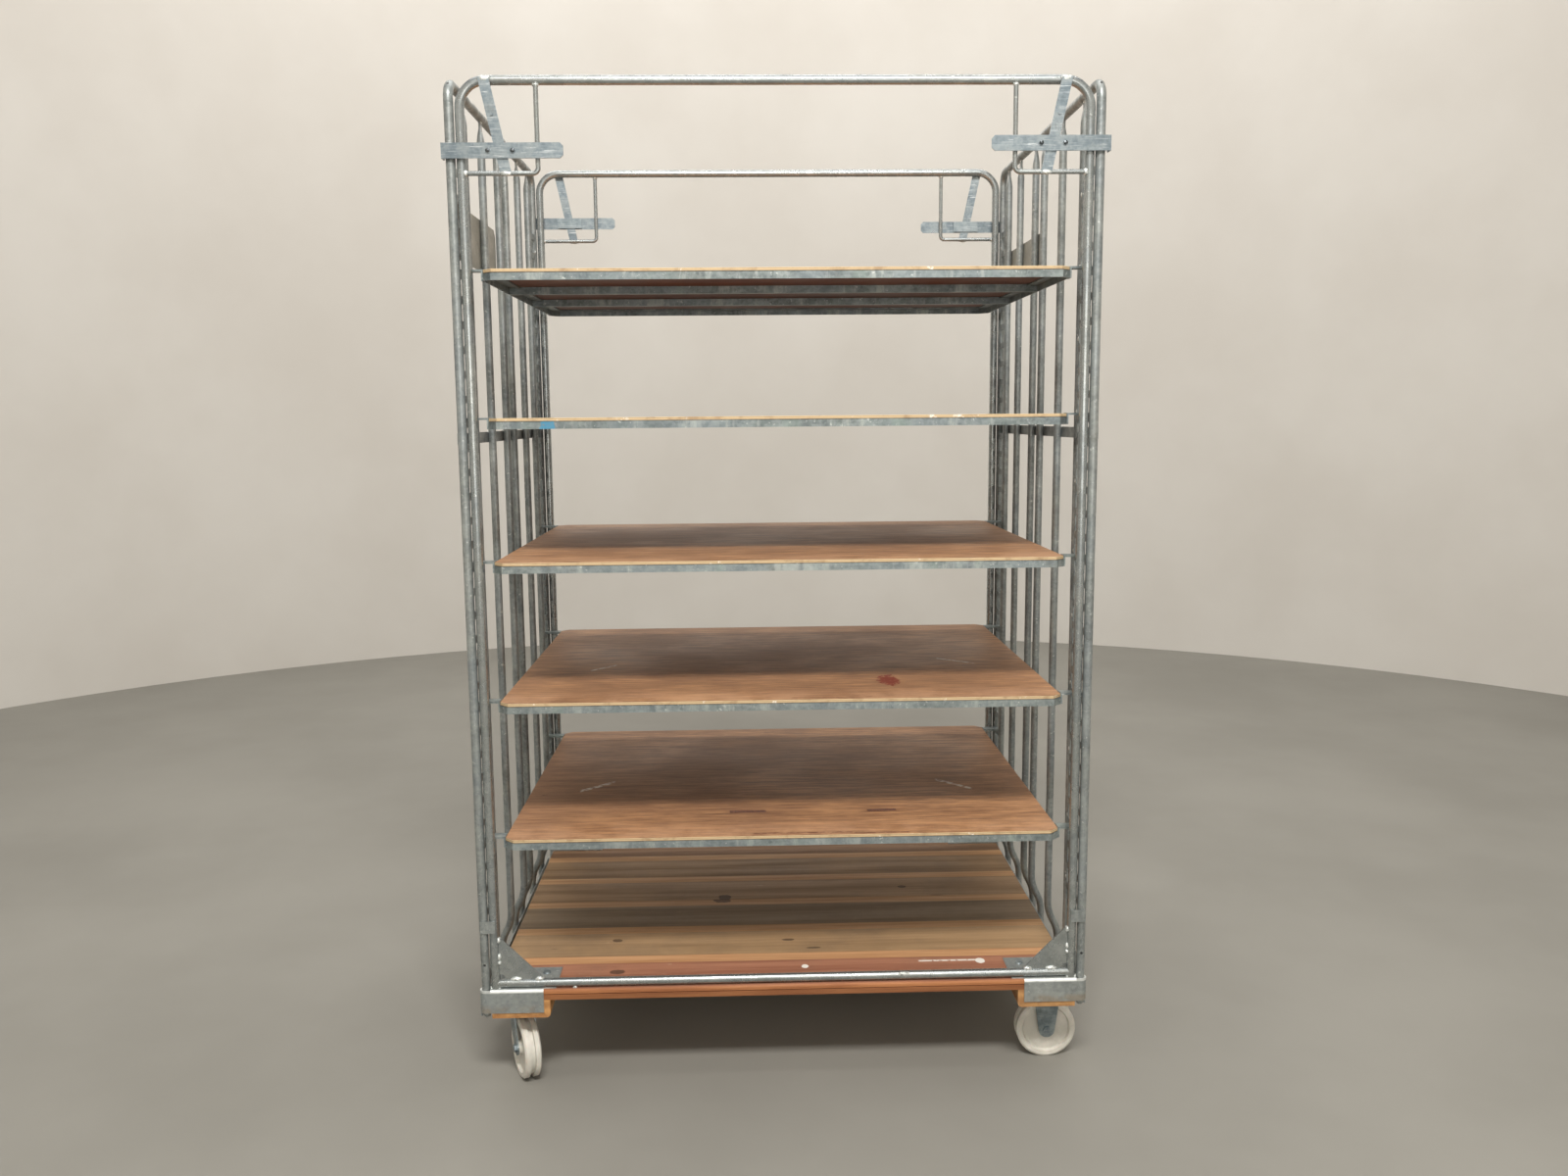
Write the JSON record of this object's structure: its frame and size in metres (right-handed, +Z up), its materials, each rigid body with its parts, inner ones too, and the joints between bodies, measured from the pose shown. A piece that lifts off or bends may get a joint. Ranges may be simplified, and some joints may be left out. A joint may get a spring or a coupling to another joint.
{
  "type": "shelf trolley",
  "caption": "Roll-in bakery shelf trolley: timber deck on casters, tubular end panels that lift out, hook-on plywood shelves and wedge latches",
  "frame": {"origin": "centre of the footprint, on the floor", "axes": "+X to the right seen from the front, +Y to the rear, +Z up"},
  "size_m": [1.272, 0.9352, 1.98],
  "materials": {
    "red_pine": "worn stained softwood",
    "pine": "worn softwood",
    "plywood": "worn film-faced plywood",
    "galvanised_tube": "dull hot-dip galvanised",
    "galvanised_sheet": "dull galvanised sheet",
    "zinc_hardware": "bright zinc plate",
    "name_plate": "painted sheet, blank",
    "nylon": "off-white moulded nylon"
  },
  "bodies": {
    "base": {"deck_plank_1": "red_pine", "deck_plank_2": "pine", "deck_plank_3": "pine", "deck_plank_4": "pine", "deck_plank_5": "pine", "deck_plank_6": "pine", "runner_left": "pine", "runner_right": "pine", "corner_cap_front_left": "galvanised_sheet", "corner_cap_front_right": "galvanised_sheet", "corner_cap_rear_left": "galvanised_sheet", "corner_cap_rear_right": "galvanised_sheet", "deck_bolts": "zinc_hardware", "portal_front": "galvanised_tube", "portal_rear": "galvanised_tube", "latch_guides_front": "galvanised_sheet", "latch_guides_rear": "galvanised_sheet", "side_left_frame": "galvanised_tube", "side_left_bars": "galvanised_tube", "side_left_ladders": "galvanised_sheet", "side_left_strips": "galvanised_sheet", "side_left_plate": "name_plate", "side_right_frame": "galvanised_tube", "side_right_bars": "galvanised_tube", "side_right_ladders": "galvanised_sheet", "side_right_strips": "galvanised_sheet", "side_right_plate": "name_plate", "caster_front_left_plate": "zinc_hardware", "caster_rear_left_plate": "zinc_hardware", "caster_front_right_bracket": "zinc_hardware", "caster_front_right_axle": "zinc_hardware", "caster_rear_right_bracket": "zinc_hardware", "caster_rear_right_axle": "zinc_hardware"},
    "shelf_1": {"shelf_1_frame": "galvanised_sheet", "shelf_1_board": "plywood"},
    "shelf_2": {"shelf_2_frame": "galvanised_sheet", "shelf_2_board": "plywood"},
    "shelf_3": {"shelf_3_frame": "galvanised_sheet", "shelf_3_board": "plywood"},
    "shelf_4": {"shelf_4_frame": "galvanised_sheet", "shelf_4_board": "plywood"},
    "shelf_5": {"shelf_5_frame": "galvanised_sheet", "shelf_5_board": "plywood"},
    "latch_front_left": {"latch_front_left_bar": "zinc_hardware", "latch_front_left_keeper": "zinc_hardware"},
    "latch_front_right": {"latch_front_right_bar": "zinc_hardware", "latch_front_right_keeper": "zinc_hardware"},
    "latch_rear_left": {"latch_rear_left_bar": "zinc_hardware", "latch_rear_left_keeper": "zinc_hardware"},
    "latch_rear_right": {"latch_rear_right_bar": "zinc_hardware", "latch_rear_right_keeper": "zinc_hardware"},
    "swivel_front": {"caster_front_left_fork": "zinc_hardware", "caster_front_left_axle": "zinc_hardware"},
    "swivel_rear": {"caster_rear_left_fork": "zinc_hardware", "caster_rear_left_axle": "zinc_hardware"},
    "wheel_front_left": {"caster_front_left_wheel": "nylon"},
    "wheel_rear_left": {"caster_rear_left_wheel": "nylon"},
    "wheel_front_right": {"caster_front_right_wheel": "nylon"},
    "wheel_rear_right": {"caster_rear_right_wheel": "nylon"}
  },
  "joints": [
    {"name": "shelf_1_lift", "type": "slide", "parent": "base", "child": "shelf_1", "axis": [0, 0, 1], "range_m": [0, 0.018]},
    {"name": "shelf_2_lift", "type": "slide", "parent": "base", "child": "shelf_2", "axis": [0, 0, 1], "range_m": [0, 0.018]},
    {"name": "shelf_3_lift", "type": "slide", "parent": "base", "child": "shelf_3", "axis": [0, 0, 1], "range_m": [0, 0.018]},
    {"name": "shelf_4_lift", "type": "slide", "parent": "base", "child": "shelf_4", "axis": [0, 0, 1], "range_m": [0, 0.018]},
    {"name": "shelf_5_lift", "type": "slide", "parent": "base", "child": "shelf_5", "axis": [0, 0, 1], "range_m": [0, 0.018]},
    {"name": "latch_front_left_slide", "type": "slide", "parent": "base", "child": "latch_front_left", "axis": [-0.2079, 0, 0.9781], "range_m": [0, 0.047]},
    {"name": "latch_front_right_slide", "type": "slide", "parent": "base", "child": "latch_front_right", "axis": [0.2079, 0, 0.9781], "range_m": [0, 0.0355]},
    {"name": "latch_rear_left_slide", "type": "slide", "parent": "base", "child": "latch_rear_left", "axis": [-0.2079, 0, 0.9781], "range_m": [0, 0.041]},
    {"name": "latch_rear_right_slide", "type": "slide", "parent": "base", "child": "latch_rear_right", "axis": [0.2079, 0, 0.9781], "range_m": [0, 0.054]},
    {"name": "swivel_front_turn", "type": "hinge", "parent": "base", "child": "swivel_front", "pos_m": [-0.556, -0.355, 0.14], "axis": [0, 0, 1], "continuous": true},
    {"name": "swivel_rear_turn", "type": "hinge", "parent": "base", "child": "swivel_rear", "pos_m": [-0.556, 0.355, 0.14], "axis": [0, 0, 1], "continuous": true},
    {"name": "wheel_front_left_spin", "type": "hinge", "parent": "swivel_front", "child": "wheel_front_left", "pos_m": [-0.5381, -0.3952, 0.0625], "axis": [0.9135, 0.4067, 0], "continuous": true},
    {"name": "wheel_rear_left_spin", "type": "hinge", "parent": "swivel_rear", "child": "wheel_rear_left", "pos_m": [-0.52891, 0.32033, 0.0625], "axis": [0.788, 0.6157, 0], "continuous": true},
    {"name": "wheel_front_right_spin", "type": "hinge", "parent": "base", "child": "wheel_front_right", "pos_m": [0.556, -0.355, 0.0625], "axis": [0, 1, 0], "continuous": true},
    {"name": "wheel_rear_right_spin", "type": "hinge", "parent": "base", "child": "wheel_rear_right", "pos_m": [0.556, 0.355, 0.0625], "axis": [0, 1, 0], "continuous": true}
  ]
}
